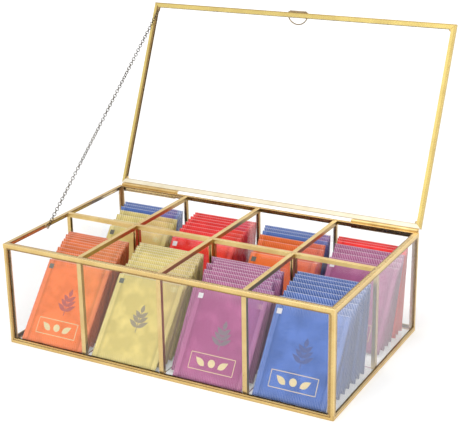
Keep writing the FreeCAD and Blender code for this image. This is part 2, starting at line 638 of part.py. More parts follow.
def sachet():
    """A flat packet standing on its own XY plane: a thin sealed edge and a puffed middle on both sides."""
    edge = block("sachet_edge", "sachet_width", "sachet_seam", "sachet_height")
    pieces = [placed(edge, spot(y="-sachet_seam / 2"))]
    inner = "(sachet_seam_side + sachet_slope)"
    for name, spots in (("back", [spot()]), ("front", [spot(x="sachet_width", angle="180")])):
        puff = bound(document.addObject("Part::Wedge", f"sachet_puff_{name}"),
                     Xmin="sachet_seam_side", Xmax="sachet_width - sachet_seam_side",
                     Zmin="sachet_seam_side", Zmax="sachet_height - sachet_seam_side",
                     X2min=inner, X2max=f"sachet_width - {inner}", Z2min=inner, Z2max=SACHET_FULL_TOP,
                     Ymin="0", Ymax="sachet_puff / 2")
        pieces.append(placed(puff, *spots))
    return fused("sachet", pieces)


def stack_places(column, row, shares, first_foot, slack, end_gap, first_lean, lean_step):
    """Where each sachet of a stack stands: as many as fit between the first foot and the gap behind the last.

    A foot's step is what two puffed middles need, measured square to the sachets, and each leans less than the last.
    """
    height, puff, gap = size("sachet_height"), size("sachet_puff"), size("sachet_rest_gap")
    half_seam = size("sachet_seam") / 2
    flank, lining = worth(f"{CHANNEL_WIDTH} / 2"), worth(LINING)
    left = lining if column == 0 else flank
    right = lining if column == COLUMNS - 1 else flank
    room = size("box_width") / COLUMNS - left - right - size("sachet_width")
    start = (column / COLUMNS - 0.5) * size("box_width") + left
    first_share, last_share, stray = shares
    if row == FRONT_ROW:
        foot, limit = lining - size("box_depth") / 2, -flank
    else:
        foot, limit = worth("divider_pane / 2"), size("box_depth") / 2 - lining
    foot += first_foot * puff + half_seam
    lean = first_lean
    step = puff + gap + slack * puff + worth(SACHET_FULL_TOP) * math.sin(math.radians(lean_step))
    stands = []
    while lean <= STEEPEST:
        spare = limit - end_gap * puff - foot - height * math.cos(math.radians(lean)) - half_seam - gap
        if spare < 0:
            break
        stands.append((foot, lean, spare))
        foot += step / math.sin(math.radians(lean))
        lean += lean_step

    places = []
    for number, (foot, lean, spare) in enumerate(stands, 1):
        y = foot + stands[-1][2] * number / len(stands)
        lift = worth(FLOOR_TOP) + gap + half_seam * math.cos(math.radians(lean))
        share = first_share + (last_share - first_share) * number / len(stands)
        share += stray * math.sin(STAGGER_TURN * (len(stands) - number) - column)
        places.append(Placement(Vector(start + share * room, y, lift), Rotation(X_AXIS, lean - 90)))
    return places


def sachet_stacks():
    """A stack of leaning sachets for each compartment."""
    blank = sachet()
    document.recompute()
    for name, *values in STACKS:
        pieces = []
        for place in stack_places(*values):
            piece = blank.Shape.copy()
            piece.Placement = place
            pieces.append(piece)
        stack = document.addObject("Part::Feature", name)
        stack.Shape = Part.Compound(pieces)
        node(stack)
        print(f"{name}: {len(pieces)} sachets")


def export():
    """Checks every object of the document, and writes each sub-part to its own file."""
    document.recompute()
    for thing in document.Objects:
        if "Invalid" in thing.State or "Error" in thing.State:
            raise RuntimeError(f"{thing.Label} failed: {thing.State}")
    os.makedirs("parts", exist_ok=True)
    for piece in nodes:
        if piece.Shape.isNull() or not piece.Shape.isValid():
            raise RuntimeError(f"{piece.Label} has no valid shape")
        if not piece.Shape.Solids:
            raise RuntimeError(f"{piece.Label} holds no solid")
    for piece in nodes:
        piece.Shape.exportStep(os.path.join("parts", f"{piece.Label}.step"))
    print(len(nodes), "sub-parts")


box_frame()
box_panes()
corner_liners()
long_divider()
cross_dividers()
lid()
hinges()
pull()
chain()
sachet_stacks()
export()
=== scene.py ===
"""Dresses the glass tea chest: brass strips with tarnish, painted shade and painted highlights, seams dark with
patina and painted shade, soldered corners, clear glass, a link chain, and printed foil sachets in place of the
plain packets. Metres; the frame's axes: +X right, +Y back, +Z up.
"""
import json
import math
import random

import bpy
from mathutils import Matrix, Vector

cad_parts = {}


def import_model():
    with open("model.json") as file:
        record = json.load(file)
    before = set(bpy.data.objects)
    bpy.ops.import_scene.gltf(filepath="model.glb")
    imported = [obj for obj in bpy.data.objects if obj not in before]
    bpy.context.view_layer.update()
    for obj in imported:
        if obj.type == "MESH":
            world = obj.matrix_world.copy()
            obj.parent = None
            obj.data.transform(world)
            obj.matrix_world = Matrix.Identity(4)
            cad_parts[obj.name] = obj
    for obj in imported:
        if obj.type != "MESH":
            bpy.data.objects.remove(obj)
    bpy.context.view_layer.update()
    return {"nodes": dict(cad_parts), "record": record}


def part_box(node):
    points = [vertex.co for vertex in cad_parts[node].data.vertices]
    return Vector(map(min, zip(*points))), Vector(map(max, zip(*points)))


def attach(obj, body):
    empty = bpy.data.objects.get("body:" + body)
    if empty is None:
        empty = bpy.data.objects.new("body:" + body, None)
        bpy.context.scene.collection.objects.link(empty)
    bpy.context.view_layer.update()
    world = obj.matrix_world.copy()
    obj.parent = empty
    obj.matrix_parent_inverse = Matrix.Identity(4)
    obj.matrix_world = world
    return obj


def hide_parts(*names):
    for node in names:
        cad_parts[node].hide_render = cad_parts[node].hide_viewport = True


MM = 0.001

# the sachets: their size and how wide their side seals are
SACHET_WIDTH, SACHET_HEIGHT, SIDE_SEAL = 66 * MM, 79 * MM, 4.5 * MM
# the lid as it is modelled: its hinge line, and how far open it is
HINGE_LINE, LID_OPEN = (0, 96 * MM, 96.2 * MM), math.radians(114)

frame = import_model()
nodes = frame["nodes"]


# ---- shader graphs ----

# where a blend of two colours starts and ends, along a factor from 0 to 1
BLEND_START, BLEND_END = 0.35, 0.68
# the colour inputs and the colour output of a mix node
MIX_INPUTS, MIX_OUTPUT = (6, 7), 2


class Graph:
    """A shader's node tree, with short ways to add what the materials need."""

    def __init__(self, tree):
        self.nodes, self.links = tree.nodes, tree.links

    def add(self, kind, **settings):
        """A node with its settings, and its inputs by name with underscores for spaces."""
        made = self.nodes.new(kind)
        for name, value in settings.items():
            if hasattr(made, name):
                setattr(made, name, value)
            else:
                made.inputs[name.replace("_", " ")].default_value = value
        return made

    def noise(self, scale, detail=3.0):
        """Noise over the object's own space."""
        texture = self.add("ShaderNodeTexNoise", Scale=scale, Detail=detail)
        self.links.new(self.add("ShaderNodeTexCoord").outputs["Object"], texture.inputs["Vector"])
        return texture.outputs["Fac"]

    def between(self, factor, low, high):
        """A colour from low to high along the factor."""
        ramp = self.add("ShaderNodeValToRGB")
        first, last = ramp.color_ramp.elements
        first.position, last.position = BLEND_START, BLEND_END
        first.color, last.color = (*low, 1), (*high, 1)
        self.links.new(factor, ramp.inputs["Fac"])
        return ramp.outputs["Color"]

    def ranged(self, factor, low, high, start=0.0, end=1.0):
        """The factor mapped from start and end to low and high."""
        mapped = self.add("ShaderNodeMapRange", From_Min=start, From_Max=end, To_Min=low, To_Max=high)
        self.links.new(factor, mapped.inputs["Value"])
        return mapped.outputs["Result"]

    def calculated(self, operation, first, second=None, clamped=False):
        """The result of a maths node on two sockets or numbers."""
        made = self.add("ShaderNodeMath", operation=operation, use_clamp=clamped)
        for socket, value in zip(made.inputs, (first, second)):
            if isinstance(value, (int, float)):
                socket.default_value = value
            elif value is not None:
                self.links.new(value, socket)
        return made.outputs["Value"]

    def mixed(self, factor, first, second):
        """A colour from the first to the second, which are sockets or colours, along the factor."""
        mix = self.add("ShaderNodeMix", data_type="RGBA")
        self.links.new(factor, mix.inputs["Factor"])
        for index, value in zip(MIX_INPUTS, (first, second)):
            if isinstance(value, tuple):
                mix.inputs[index].default_value = (*value, 1)
            else:
                self.links.new(value, mix.inputs[index])
        return mix.outputs[MIX_OUTPUT]

    def apart(self, vector):
        """The three parts of a vector."""
        made = self.add("ShaderNodeSeparateXYZ")
        self.links.new(vector, made.inputs["Vector"])
        return tuple(made.outputs)

    def facing(self):
        """The three parts of the direction that the surface faces."""
        return self.apart(self.add("ShaderNodeTexCoord").outputs["Normal"])

    def carried(self, name, output="Fac"):
        """A value that the mesh's points carry."""
        return self.add("ShaderNodeAttribute", attribute_name=name).outputs[output]

    def seen(self):
        """1 for what the eye sees straight, in a reflection or through glass, and 0 for what gives light."""
        path = self.add("ShaderNodeLightPath").outputs
        straight = self.calculated("ADD", path["Is Camera Ray"], path["Is Glossy Ray"], clamped=True)
        return self.calculated("ADD", straight, path["Is Transmission Ray"], clamped=True)

    def bump(self, shader, height, strength, distance):
        """Gives the shader a bump from the height."""
        made = self.add("ShaderNodeBump", Strength=strength, Distance=distance)
        self.links.new(height, made.inputs["Height"])
        self.links.new(made.outputs["Normal"], shader.inputs["Normal"])


def new_material(name):
    """A material, its graph and its Principled shader."""
    material = bpy.data.materials.new(name)
    material.use_nodes = True
    return material, Graph(material.node_tree), material.node_tree.nodes["Principled BSDF"]


def set_inputs(shader, **values):
    """Constant inputs of a shader, by name with underscores for spaces."""
    for name, value in values.items():
        shader.inputs[name.replace("_", " ")].default_value = value


def tinted(colour, factor, lift=0.0):
    """The colour darker or lighter by a factor, and lifted towards white."""
    return tuple(min(1.0, channel * factor + lift) for channel in colour)


# ---- brass ----

# the scale of brass's patches, and of its scuffs and their detail
PATCH_SCALE, SCUFF_SCALE, SCUFF_DETAIL = 60.0, 900.0, 5.0
# how much glossier and duller the scuffs make it, and how strong and deep they are as bumps
GLOSSIER, DULLER = 0.08, 0.12
SCUFF_BUMP, SCUFF_DEPTH = 0.05, 0.00003
# the colour of the tarnish and painted shade, and of the painted highlight on the folds
TARNISH_AND_SHADE_COLOUR, HIGHLIGHT_COLOUR = (0.22, 0.115, 0.045), (0.93, 0.72, 0.36)
# how far in from a block's edge the bands of tarnish and painted shade reach, and how far and how finely they
# wander
BAND_REACH, BAND_WANDER, WANDER_SCALE = 8.0, 0.25 * MM, 350.0
# how dark a mitre's line is, and where it starts and stops fading
MITRE_DARK, MITRE_FULL, MITRE_END = 0.75, 0.1 * MM, 0.3 * MM
# how bright the painted highlight on a fold is, and where it starts and stops fading
FOLD_HIGHLIGHT, FOLD_FULL, FOLD_END = 0.75, 0.25 * MM, 0.75 * MM
# how dark the painted shade on the channels' sides is
SIDE_SHADE = 0.6


def own_place(graph, in_lid):
    """The point's coordinates on the modelled object, or in the shut lid's own place for a piece of the lid."""
    vector = graph.add("ShaderNodeTexCoord").outputs["Object"]
    if in_lid:
        turn = graph.add("ShaderNodeVectorRotate", rotation_type="X_AXIS", Center=HINGE_LINE, Angle=LID_OPEN)
        graph.links.new(vector, turn.inputs["Vector"])
        vector = turn.outputs["Vector"]
    return graph.apart(vector)


def from_edges(graph, low, high, in_lid=False):
    """How far a point of a block's surface is from the block's nearest edge, and from its corners' mitres."""
    gaps = []
    for value, start, end in zip(own_place(graph, in_lid), low, high):
        past_start = graph.calculated("SUBTRACT", value, start)
        before_end = graph.calculated("SUBTRACT", end, value)
        gaps.append(graph.calculated("MINIMUM", past_start, before_end))
    least = graph.calculated("MINIMUM", gaps[0], gaps[1])
    most = graph.calculated("MAXIMUM", gaps[0], gaps[1])
    middle = graph.calculated("MAXIMUM", least, graph.calculated("MINIMUM", most, gaps[2]))
    return middle, graph.calculated("ABSOLUTE", graph.calculated("SUBTRACT", gaps[0], gaps[1]))


def brass(name, light, dark, roughness, grain=SCUFF_SCALE, tarnish_and_shade=None, painted_highlight=None):
    """Brass whose colour drifts between a lighter and a darker tone, with fine scuffs in its gloss.

    The tarnish and painted shade and the painted highlight are functions of the graph that give how dark or
    how bright a point is, from 0 to 1.
    """
    material, graph, shader = new_material(name)
    set_inputs(shader, Metallic=1.0)
    colour = graph.between(graph.noise(PATCH_SCALE), dark, light)
    # tarnish and painted shade darken it, and a painted highlight lightens it
    if tarnish_and_shade:
        colour = graph.mixed(tarnish_and_shade(graph), colour, TARNISH_AND_SHADE_COLOUR)
    if painted_highlight:
        colour = graph.mixed(painted_highlight(graph), colour, HIGHLIGHT_COLOUR)
    graph.links.new(colour, shader.inputs["Base Color"])
    scuffs = graph.noise(grain, SCUFF_DETAIL)
    gloss = graph.ranged(scuffs, roughness - GLOSSIER, roughness + DULLER)
    graph.links.new(gloss, shader.inputs["Roughness"])
    graph.bump(shader, scuffs, SCUFF_BUMP, SCUFF_DEPTH)
    return material


def fold_highlight(low, high):
    """A painted highlight on the folds of the strips along a block's edges."""
    def painted_highlight(graph):
        """How bright the point is."""
        distance, _ = from_edges(graph, low, high)
        return graph.ranged(distance, FOLD_HIGHLIGHT, 0.0, FOLD_FULL, FOLD_END)

    return painted_highlight


def banded(low, high, stops, in_lid=False, mitred=False, top_shade=0.0):
    """Tarnish and painted shade in bands along the strips of a block's edges: (distance from the edge in mm,
    darkness) stops.

    The faces that look up get at least the darkness given for the top, a painted shade.
    """
    def tarnish_and_shade(graph):
        """How dark the point is."""
        distance, mitre = from_edges(graph, low, high, in_lid)
        wander = graph.ranged(graph.noise(WANDER_SCALE), -BAND_WANDER, BAND_WANDER)
        distance = graph.calculated("ADD", distance, wander)
        ramp = graph.add("ShaderNodeValToRGB")
        elements = ramp.color_ramp.elements
        while len(elements) < len(stops):
            elements.new(0.5)
        for element, (place, darkness) in zip(elements, stops):
            element.position = place / BAND_REACH
            element.color = (darkness, darkness, darkness, 1)
        graph.links.new(graph.ranged(distance, 0, 1, 0, BAND_REACH * MM), ramp.inputs["Fac"])
        dark = ramp.outputs["Color"]
        if mitred:
            line = graph.ranged(mitre, MITRE_DARK, 0.0, MITRE_FULL, MITRE_END)
            dark = graph.calculated("MAXIMUM", dark, line)
        # painted shade on the faces that look up
        if top_shade:
            top = graph.ranged(graph.facing()[2], 0.0, top_shade, 0.5, 0.9)
            dark = graph.calculated("MAXIMUM", dark, top)
        return dark

    return tarnish_and_shade


def shaded_sides(graph):
    """A painted shade on the faces that look to the left and right."""
    return graph.ranged(graph.calculated("ABSOLUTE", graph.facing()[0]), 0.0, SIDE_SHADE, 0.2, 0.9)


# ---- glass, foil and ink ----

def glass():
    """Clear glass that lets lamps through."""
    material, graph, shader = new_material("clear_glass")
    set_inputs(shader, Base_Color=(0.996, 0.999, 0.997, 1), Roughness=0.0, IOR=1.36, Transmission_Weight=1.0)
    through = graph.add("ShaderNodeBsdfTransparent")
    set_inputs(through, Color=(0.99, 0.995, 0.992, 1))
    mix = graph.add("ShaderNodeMixShader")
    graph.links.new(graph.add("ShaderNodeLightPath").outputs["Is Shadow Ray"], mix.inputs["Fac"])
    graph.links.new(shader.outputs["BSDF"], mix.inputs[1])
    graph.links.new(through.outputs["BSDF"], mix.inputs[2])
    graph.links.new(mix.outputs["Shader"], graph.nodes["Material Output"].inputs["Surface"])
    return material


# the hatching of the crimps: its pitch along them, its slant, and how much of a pitch is ridge
HATCH_PITCH, HATCH_SLANT, HATCH_RIDGE = 2.4 * MM, 0.6, (-0.3, 0.6)
# how strongly the painted shade in the grooves between the ridges shows, and how strong and deep the ridges are
# as bumps
GROOVE_SHADE_SHOWS, RIDGE_BUMP, RIDGE_DEPTH = 0.5, 0.6, 0.0003
# how far the foil's tone drifts, and how large and detailed the patches are
FOIL_CLOUD, CLOUD_SCALE, CLOUD_DETAIL = 0.45, 70.0, 2.0
# how strongly the foil shines, and how roughly from patch to patch
FOIL_SPECULAR, FOIL_ROUGHNESS = 0.22, (0.34, 0.48)
# the foil's tones from its own colour: (factor, lift)
DEEP, PALE = (0.84,), (1.12, 0.02)
SEALED, SHADED = (0.98, 0.09), (0.62,)
# painted shade in the crimps' grooves, and a painted highlight on their ridges
GROOVE_SHADE, PAINTED_RIDGE_HIGHLIGHT = (0.72,), (0.45, 0.55)
# how strongly the side seals and the shade beside them show
SEAL_SHOWS, SHADE_SHOWS = 0.5, 0.45
# how soft a side seal's edge is; how far in from it the shade is full, starts fading and is gone
SEAL_SOFT, SHADE_RISE, SHADE_FALL, SHADE_END = 0.3 * MM, 0.5 * MM, 1.2 * MM, 4 * MM
# how wide the cut edge is, its colour, white of the cut and partly a painted highlight, and how strongly it
# shows on plain foil and more where the crimps' painted highlight is stronger
CUT_EDGE = 0.6 * MM
CUT_WHITE_AND_HIGHLIGHT, CUT_SHOWS, CUT_SHOWS_MORE = (0.86, 0.86, 0.88), 0.35, 0.8
# the ink's grain, its faded tone and its roughness
INK_SCALE, INK_DETAIL, INK_FADED, INK_ROUGHNESS = 900.0, 4.0, (0.85, 0.04), 0.42


def foil(name, colour, ridge_highlight):
    """Satin printed foil: each sachet a little different in tone, hatched on its crimps with painted highlight
    and shade, white at its cut, partly a painted highlight.

    The third argument is how white the painted highlight on the ridges of its crimps is.
    """
    material, graph, shader = new_material(name)
    across, up, _ = graph.apart(graph.carried("sheet", "Vector"))
    cloud = graph.noise(CLOUD_SCALE, CLOUD_DETAIL)
    drift = graph.calculated("ADD", graph.carried("tone"), graph.ranged(cloud, -FOIL_CLOUD, FOIL_CLOUD))
    base = graph.between(drift, tinted(colour, *DEEP), tinted(colour, *PALE))

    # the side seals, and the shade where the puffed middle starts beside them
    side_gap = graph.calculated("MINIMUM", across, graph.calculated("SUBTRACT", SACHET_WIDTH, across))
    seal = graph.ranged(side_gap, SEAL_SHOWS, 0.0, SIDE_SEAL - SEAL_SOFT, SIDE_SEAL + SEAL_SOFT)
    rise = graph.ranged(side_gap, 0.0, 1.0, SIDE_SEAL, SIDE_SEAL + SHADE_RISE)
    fall = graph.ranged(side_gap, SHADE_SHOWS, 0.0, SIDE_SEAL + SHADE_FALL, SIDE_SEAL + SHADE_END)
    base = graph.mixed(seal, base, tinted(colour, *SEALED))
    base = graph.mixed(graph.calculated("MULTIPLY", rise, fall), base, tinted(colour, *SHADED))

    # the hatching, with a painted highlight on its ridges and painted shade in its grooves
    slant = graph.calculated("ADD", across, graph.calculated("MULTIPLY", up, HATCH_SLANT))
    turn = graph.calculated("MULTIPLY", slant, math.tau / HATCH_PITCH)
    crimp = graph.carried("crimp")
    ridge = graph.ranged(graph.calculated("SINE", turn), 0.0, 1.0, *HATCH_RIDGE)
    pressed = graph.calculated("MULTIPLY", ridge, crimp)
    groove = graph.calculated("SUBTRACT", crimp, pressed)
    base = graph.mixed(graph.calculated("MULTIPLY", groove, GROOVE_SHADE_SHOWS), base, tinted(colour, *GROOVE_SHADE))
    base = graph.mixed(graph.calculated("MULTIPLY", pressed, ridge_highlight), base, tinted(colour, *PAINTED_RIDGE_HIGHLIGHT))

    # the white cut edge, partly a painted highlight
    cut = graph.ranged(graph.calculated("ABSOLUTE", up), 0.0, CUT_SHOWS + ridge_highlight * CUT_SHOWS_MORE,
                       SACHET_HEIGHT - CUT_EDGE, SACHET_HEIGHT)
    graph.links.new(graph.mixed(cut, base, CUT_WHITE_AND_HIGHLIGHT), shader.inputs["Base Color"])
    set_inputs(shader, Specular_IOR_Level=FOIL_SPECULAR)
    graph.links.new(graph.ranged(cloud, *FOIL_ROUGHNESS), shader.inputs["Roughness"])
    graph.bump(shader, pressed, RIDGE_BUMP, RIDGE_DEPTH)
    return material


def print_ink(name, colour):
    """Ink printed on the foil."""
    material, graph, shader = new_material(name)
    tone = graph.between(graph.noise(INK_SCALE, INK_DETAIL), tinted(colour, *INK_FADED), colour)
    graph.links.new(tone, shader.inputs["Base Color"])
    set_inputs(shader, Roughness=INK_ROUGHNESS)
    return material


# ---- the finishes ----

BOX_LOW, BOX_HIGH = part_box("bottom_frame")[0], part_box("top_rail_back")[1]
BOX_LOW = (-BOX_HIGH[0], -BOX_HIGH[1], BOX_LOW[2])
# the shut lid's own place
LID_LOW, LID_HIGH = (-BOX_HIGH[0], -94 * MM, 96.4 * MM), (BOX_HIGH[0], 94 * MM, 100.2 * MM)
# bright brass, the lid's yellower brass, and how rough they are
BRASS_LIGHT, BRASS_DARK = (0.79, 0.59, 0.25), (0.70, 0.49, 0.19)
LID_LIGHT, LID_DARK = (0.80, 0.63, 0.22), (0.70, 0.54, 0.19)
BRIGHT_ROUGHNESS = 0.26
# the bands of tarnish and painted shade: (mm from the box's edge, darkness)
RAIL_BANDS = ((0.4, 0), (2.9, 0.05), (3.4, 0.3), (3.9, 0.8), (4.6, 0.85))
POST_BANDS = ((0.2, 0.05), (2.4, 0.1), (2.9, 0.55), (4.6, 0.65))
BASE_BANDS = ((0.2, 0.35), (0.9, 0.1), (2.4, 0.0), (2.8, 0.9), (3.3, 0.9), (3.7, 0.1), (4.3, 0.3))
# painted highlight on the folds of the rails and posts, and painted shade on the rails' tops
RAIL = brass("rail_brass", BRASS_LIGHT, BRASS_DARK, BRIGHT_ROUGHNESS, painted_highlight=fold_highlight(BOX_LOW, BOX_HIGH),
             tarnish_and_shade=banded(BOX_LOW, BOX_HIGH, RAIL_BANDS, mitred=True, top_shade=0.22))
POST = brass("post_brass", BRASS_LIGHT, BRASS_DARK, BRIGHT_ROUGHNESS, painted_highlight=fold_highlight(BOX_LOW, BOX_HIGH),
             tarnish_and_shade=banded(BOX_LOW, BOX_HIGH, POST_BANDS))
BASE = brass("base_brass", BRASS_LIGHT, BRASS_DARK, BRIGHT_ROUGHNESS,
             tarnish_and_shade=banded(BOX_LOW, BOX_HIGH, BASE_BANDS))
# the lid's rails are darker on the side that is in shadow
LID_BANDS = {
    "left": ((0.0, 0.3), (0.6, 0.0), (2.6, 0.1), (3.2, 0.75), (4.6, 0.85)),
    "right": ((0.0, 0.5), (0.7, 0.3), (1.9, 0.28), (2.3, 0.02), (4.6, 0.0)),
    "front": ((0.0, 0.7), (0.7, 0.55), (1.2, 0.02), (2.9, 0.0), (4.6, 0.06)),
}
LID_BACK_BANDS = ((0.0, 0.5), (0.6, 0.0), (3.6, 0.0), (4.2, 0.35), (4.6, 0.4))
LID_RAILS = {side: brass(f"lid_brass_{side}", LID_LIGHT, LID_DARK, BRIGHT_ROUGHNESS,
                         tarnish_and_shade=banded(LID_LOW, LID_HIGH, bands, in_lid=True, mitred=True))
             for side, bands in LID_BANDS.items()}
# the back rail is nearly white, a painted highlight
LID_RAILS["back"] = brass("lid_brass_back_highlight", (0.95, 0.88, 0.70), (0.88, 0.79, 0.58), 0.30,
                          tarnish_and_shade=banded(LID_LOW, LID_HIGH, LID_BACK_BANDS, in_lid=True))
# the channels' sides get a painted shade
CHANNEL = brass("channel_brass", BRASS_LIGHT, BRASS_DARK, 0.28, tarnish_and_shade=shaded_sides)
LINER = brass("liner_brass", (0.74, 0.53, 0.30), (0.60, 0.41, 0.20), 0.45)
HINGE = brass("hinge_brass", (0.76, 0.56, 0.26), (0.62, 0.43, 0.18), 0.30)
WIRE = brass("wire_brass", (0.40, 0.31, 0.19), (0.28, 0.20, 0.11), 0.36)
CHAIN = brass("chain_brass", (0.13, 0.10, 0.06), (0.05, 0.035, 0.02), 0.4)
SOLDER = brass("soldered_brass", (0.80, 0.60, 0.28), (0.58, 0.42, 0.20), 0.42, 1500.0)
# the seams' patina and painted shade
SEAM_PATINA_AND_SHADE = brass("seam_patina_and_shade", (0.20, 0.10, 0.03), (0.11, 0.05, 0.015), 0.5)
GLASS = glass()
# each foil's colour and how strong the painted highlight on its crimps' ridges is
COLOURS = {
    "orange": ((0.84, 0.18, 0.03), 0.16), "bright_orange": ((0.90, 0.15, 0.006), 0.10),
    "yellow": ((0.76, 0.62, 0.20), 0.24), "purple": ((0.47, 0.12, 0.29), 0.36),
    "blue": ((0.07, 0.16, 0.50), 0.38), "red": ((0.93, 0.010, 0.008), 0.12),
}
FOILS = {name: foil(f"foil_{name}", colour, ridge_highlight) for name, (colour, ridge_highlight) in COLOURS.items()}
INK_COLOURS = {
    "orange": (0.50, 0.09, 0.07), "bright_orange": (0.48, 0.06, 0.03), "yellow": (0.33, 0.27, 0.17),
    "purple": (0.23, 0.17, 0.21), "blue": (0.05, 0.09, 0.30), "red": (0.42, 0.01, 0.02),
}
INK_DARK = {name: print_ink(f"ink_dark_{name}", colour) for name, colour in INK_COLOURS.items()}
INK_CREAM = print_ink("ink_cream", (0.80, 0.66, 0.36))
TAG_DARK = print_ink("tag_dark", (0.12, 0.13, 0.10))
TAG_LIGHT = print_ink("tag_light", (0.86, 0.84, 0.86))

SLOTS = {entry["node"]: entry["material_slot"] for entry in frame["record"]["subparts"]}
# the finish of each material slot but the strips', and the strips' finishes by how their names start
FINISHES = {"brass_hinge": HINGE, "brass_wire": WIRE, "brass_chain": CHAIN, "glass": GLASS}
STRIPS = (("top_rail", RAIL), ("corner_post", POST), ("bottom_frame", BASE), ("corner_liners", LINER),
          *((f"lid_rail_{side}", finish) for side, finish in LID_RAILS.items()))


def paint(name, material):
    """Gives a CAD node one material all over."""
    slots = nodes[name].data.materials
    slots.clear()
    slots.append(material)


def dress_nodes():
    """Puts each CAD node's finish on."""
    for name, slot in SLOTS.items():
        finish = FINISHES.get(slot)
        if slot == "brass_strip":
            finish = next((made for start, made in STRIPS if name.startswith(start)), CHANNEL)
        if finish:
            paint(name, finish)


# ---- meshes ----

def mesh_object(name, vertices, faces, materials, face_materials=None):
    """An object of the mesh, smooth, with a material index for each face."""
    mesh = bpy.data.meshes.new(name)
    mesh.from_pydata(vertices, [], faces)
    for material in materials:
        mesh.materials.append(material)
    if face_materials:
        mesh.polygons.foreach_set("material_index", face_materials)
    mesh.polygons.foreach_set("use_smooth", [True] * len(faces))
    made = bpy.data.objects.new(name, mesh)
    bpy.context.scene.collection.objects.link(made)
    return made


def islands(mesh):
    """The corner points of each separate solid in a mesh."""
    parent = {}

    def root(key):
        """The key that stands for the whole solid."""
        while parent[key] != key:
            parent[key] = parent[parent[key]]
            key = parent[key]
        return key

    keys = [tuple(round(value, 6) for value in vertex.co) for vertex in mesh.vertices]
    for key in keys:
        parent.setdefault(key, key)
    for edge in mesh.edges:
        first, second = (root(keys[index]) for index in edge.vertices)
        parent[first] = second
    groups = {}
    for key in parent:
        groups.setdefault(root(key), []).append(Vector(key))
    return list(groups.values())


def smooth_step(value):
    """From 0 to 1 as the value goes from 0 to 1, level at both ends."""
    value = min(1.0, max(0.0, value))
    return value * value * (3 - 2 * value)


def steps(first, last, count):
    """Evenly spaced values from the first to the last, with count gaps between them."""
    return [first + (last - first) * index / count for index in range(count + 1)]


# how near to a packet's lowest and highest point its end edges are
END_ZONE = 0.6 * MM


class Packet:
    """Where a plain packet of a stack stands: its low left corner, its own axes and its size."""

    def __init__(self, points):
        low = min(point.z for point in points)
        high = max(point.z for point in points)
        feet = [point for point in points if point.z < low + END_ZONE]
        tops = [point for point in points if point.z > high - END_ZONE]
        foot = sum(feet, Vector()) / len(feet)
        top = sum(tops, Vector()) / len(tops)
        left = min(point.x for point in points)
        right = max(point.x for point in points)
        self.up = Vector((0, top.y - foot.y, top.z - foot.z)).normalized()
        self.out = Vector((0, -self.up.z, self.up.y))
        self.width = right - left
        self.height = (top - foot).length
        self.corner = Vector((left, foot.y, foot.z))

    def at(self, across, up, out):
        """The point at a distance across, up and out of the packet's middle plane."""
        return self.corner + Vector((across, 0, 0)) + self.up * up + self.out * out


# ---- the sachets ----

# half a sachet's thickness at its seals, what the tea adds to it, and how tall the end seals are
SEAM, PUFF, END_SEAL = 0.25 * MM, 1.65 * MM, 7.5 * MM
# how far in from the side, bottom and top seals the tea reaches its full thickness
SIDE_SLOPE, END_SLOPE, TOP_SLOPE = 14 * MM, 15 * MM, 38 * MM
# how far the crimps fade over a seal's edge, and how deep they are on the side seals
CRIMP_FADE, SIDE_CRIMP = 0.8 * MM, 0.35
# how deep the crimps of the first sachet of a colour are, against the rest
LEADING_CRIMP = 0.3
# the creases' long and short waves, in rows beside the side seals and in columns beside the end seals, and how
# strong the short waves are against the long ones
ROW_WAVES, COLUMN_WAVES = (5.2 * MM, 3.1 * MM), (4.3 * MM, 2.6 * MM)
ROW_SHORT, COLUMN_SHORT = 0.6, 0.5
# how far from a side seal the rows are full and gone, and from the bottom and the top seal full
ROW_BAND, ROW_FOOT, ROW_HEAD = (3 * MM, 13 * MM), 6 * MM, 8 * MM
# how far from the bottom and the top seal the columns are full and gone, and from a side seal full
FOOT_BAND, HEAD_BAND, COLUMN_SIDE = (2.5 * MM, 12 * MM), (2.5 * MM, 16 * MM), 6 * MM
# how much of the waves' height the creases have
CREASE_SHARE = 0.5
# how many half waves a sheet's bow has across it
BOW_HALF_WAVES = 1.5
# how far prints stand off the foil
LIFT = 0.07 * MM
# gaps between a sachet's rows of points, across and up: on the first of a colour and on the rest
FINE_GRID, PLAIN_GRID = (30, 38), (18, 22)
# half the width of the fold on a sachet's back, how far it stops short of the ends, and its steps
FIN_HALF, FIN_SHORT, FIN_STEPS = 4.5 * MM, 0.5 * MM, 24
# each stack: body, then its colours from the front with how many sachets have each
THE_REST = 99
STACKS = (
    ("front_1", (("orange", THE_REST),)), ("front_2", (("yellow", THE_REST),)),
    ("front_3", (("purple", THE_REST),)), ("front_4", (("blue", THE_REST),)),
    ("back_1", (("yellow", 4), ("blue", THE_REST))), ("back_2", (("red", THE_REST),)),
    ("back_3", (("bright_orange", 4), ("blue", THE_REST))), ("back_4", (("purple", 4), ("red", THE_REST))),
)
DARK_TAGS = ("orange", "yellow", "bright_orange")


def band(value, rise, fall):
    """Rises from 0 over the first length and falls back over the second."""
    return smooth_step(value / rise) * (1 - smooth_step(value / fall))


